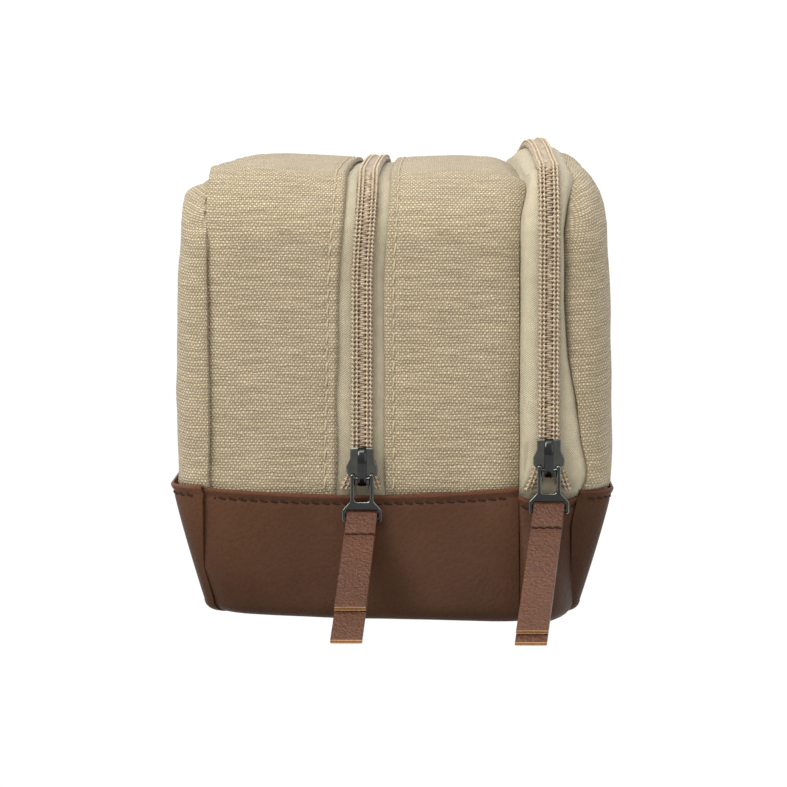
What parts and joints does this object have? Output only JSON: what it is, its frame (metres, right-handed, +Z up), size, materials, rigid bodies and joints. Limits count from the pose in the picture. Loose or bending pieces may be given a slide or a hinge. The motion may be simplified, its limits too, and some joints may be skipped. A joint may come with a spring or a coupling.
{
  "type": "shaving kit bag",
  "caption": "canvas shaving kit bag with a leather base, a main compartment and a front pocket, each closed by a zip that arches over the bag, with leather pull tabs",
  "frame": {"origin": "middle of the flat base, on the surface that the bag stands on", "axes": "+Z up; the bag is long along X with the closed zips' sliders at the -X end; the pocket faces -Y and the back panel +Y"},
  "size_m": [0.3137, 0.1286, 0.1351],
  "materials": {
    "canvas": "thick heathered plain-weave cotton canvas",
    "lining": "smooth woven polyester lining",
    "padding": "soft foam padding",
    "tape": "fine twill zip tape",
    "coil": "nylon coil teeth",
    "leather": "fine-grained dark brown leather",
    "tab_leather": "pebbled brown leather with raw tan edges",
    "board": "fibreboard stiffener",
    "gunmetal": "glossy gunmetal plating on die-cast zinc"
  },
  "bodies": {
    "base": {"leather_back": "leather", "leather_front": "leather", "leather_near_end": "leather", "leather_far_end": "leather", "leather_pocket_near_end": "leather", "leather_pocket_far_end": "leather", "leather_bottom": "leather", "base_board": "board", "main_lining_tray": "lining", "pocket_lining_tray": "lining", "divider_wall": "lining", "middle_gusset_canvas": "canvas", "middle_gusset_lining": "lining", "main_zip_tape_front": "tape", "main_zip_coil_front": "coil", "pocket_zip_tape_inner": "tape", "pocket_zip_coil_inner": "coil"},
    "back_shell": {"back_gusset_canvas": "canvas", "back_gusset_lining": "lining", "back_panel_canvas": "canvas", "back_panel_padding": "padding", "back_panel_lining": "lining", "main_zip_tape_back": "tape", "main_zip_coil_back": "coil"},
    "front_shell": {"front_panel_canvas": "canvas", "front_panel_lining": "lining", "front_patch": "leather", "pocket_zip_tape_outer": "tape", "pocket_zip_coil_outer": "coil"},
    "main_slider": {"main_slider_body": "gunmetal", "main_slider_crown": "gunmetal", "main_lock_spring": "gunmetal"},
    "main_pull": {"main_pull_frame": "gunmetal"},
    "main_tab": {"main_tab_strip": "tab_leather"},
    "pocket_slider": {"pocket_slider_body": "gunmetal", "pocket_slider_crown": "gunmetal", "pocket_lock_spring": "gunmetal"},
    "pocket_pull": {"pocket_pull_frame": "gunmetal"},
    "pocket_tab": {"pocket_tab_strip": "tab_leather"}
  },
  "joints": [
    {"name": "main_mouth", "type": "hinge", "parent": "base", "child": "back_shell", "pos_m": [0, 0.0633, 0.0364], "axis": [-1, 0, 0], "range_deg": [0, 25], "deforming": ["main_zip_tape_back", "main_zip_coil_back"]},
    {"name": "pocket_mouth", "type": "hinge", "parent": "base", "child": "front_shell", "pos_m": [0, -0.0632, 0.0364], "axis": [1, 0, 0], "range_deg": [0, 25], "deforming": ["pocket_zip_tape_outer", "pocket_zip_coil_outer"]},
    {"name": "main_slider_travel", "type": "slide", "parent": "base", "child": "main_slider", "axis": [0, 0, 1], "range_m": [0, 0.055], "deforming": ["main_zip_tape_front", "main_zip_coil_front"]},
    {"name": "pocket_slider_travel", "type": "slide", "parent": "base", "child": "pocket_slider", "axis": [0, 0, 1], "range_m": [0, 0.053], "deforming": ["pocket_zip_tape_inner", "pocket_zip_coil_inner"]},
    {"name": "main_pull_swing", "type": "hinge", "parent": "main_slider", "child": "main_pull", "pos_m": [-0.131, 0.009, 0.0406], "axis": [0, 1, 0], "range_deg": [0, 130]},
    {"name": "main_tab_swing", "type": "hinge", "parent": "main_pull", "child": "main_tab", "pos_m": [-0.131, 0.009, 0.0282], "axis": [0, -1, 0], "range_deg": [-45, 40]},
    {"name": "pocket_pull_swing", "type": "hinge", "parent": "pocket_slider", "child": "pocket_pull", "pos_m": [-0.1354, -0.0445, 0.0437], "axis": [0, 1, 0], "range_deg": [0, 130]},
    {"name": "pocket_tab_swing", "type": "hinge", "parent": "pocket_pull", "child": "pocket_tab", "pos_m": [-0.1354, -0.0445, 0.0313], "axis": [0, -1, 0], "range_deg": [-45, 34]}
  ]
}
